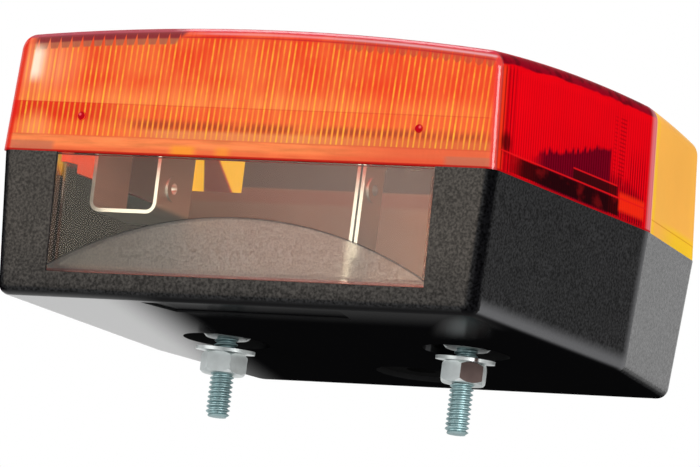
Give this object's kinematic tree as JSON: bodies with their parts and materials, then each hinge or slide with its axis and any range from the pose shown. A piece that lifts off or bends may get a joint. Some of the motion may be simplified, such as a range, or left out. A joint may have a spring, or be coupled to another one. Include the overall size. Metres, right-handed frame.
{
  "type": "tail light cluster",
  "caption": "Box-shaped trailer tail light: domed red and amber lens on a black housing, with a clear number plate window in its front wall and threaded mounting studs below.",
  "frame": {"origin": "midway between the two mounting bolts, on the outer face of the housing's floor", "axes": "+X along the front wall that holds the number plate window, +Y from that wall to the back, +Z from the floor up to the lens"},
  "size_m": [0.1486, 0.1335, 0.0975],
  "materials": {
    "black_plastic": "fine grain outside, smooth underside",
    "red_plastic": "clear tinted, ribbed on its inner side",
    "amber_plastic": "clear tinted",
    "clear_plastic": "clear, frosted below an arc",
    "black_rubber": "matte",
    "zinc_plated_steel": "bluish zinc plating",
    "bright_sheet": "bright rolled sheet",
    "divider_plastic": "smooth",
    "socket_metal": "drawn sheet",
    "insulator_board": "laminated board",
    "contact_brass": "spring strip",
    "cap_brass": "nickel plated",
    "bulb_glass": "clear",
    "filament_wire": "drawn wire"
  },
  "bodies": {
    "root": {"housing": "black_plastic", "red_lens": "red_plastic", "amber_lens": "amber_plastic", "lens_gasket": "black_rubber", "lens_screws": "zinc_plated_steel", "number_plate_window": "clear_plastic", "mounting_bolts": "zinc_plated_steel", "clamp_nuts": "zinc_plated_steel", "mounting_nuts": "zinc_plated_steel", "mounting_washers": "zinc_plated_steel", "bulb_bracket": "bright_sheet", "socket_plate": "bright_sheet", "bracket_eyelets": "bright_sheet", "indicator_bracket": "bright_sheet", "bracket_screws": "zinc_plated_steel", "chamber_divider": "divider_plastic", "tail_socket": "socket_metal", "tail_socket_insulator": "insulator_board", "tail_contact_blades": "contact_brass", "tail_bulb_cap": "cap_brass", "tail_bulb_glass": "bulb_glass", "tail_bulb_filaments": "filament_wire", "indicator_socket": "socket_metal", "indicator_socket_insulator": "insulator_board", "indicator_contact_blade": "contact_brass", "indicator_bulb_cap": "cap_brass", "indicator_bulb_glass": "bulb_glass", "indicator_bulb_filament": "filament_wire", "cable_grommet": "black_rubber"}
  },
  "joints": []
}
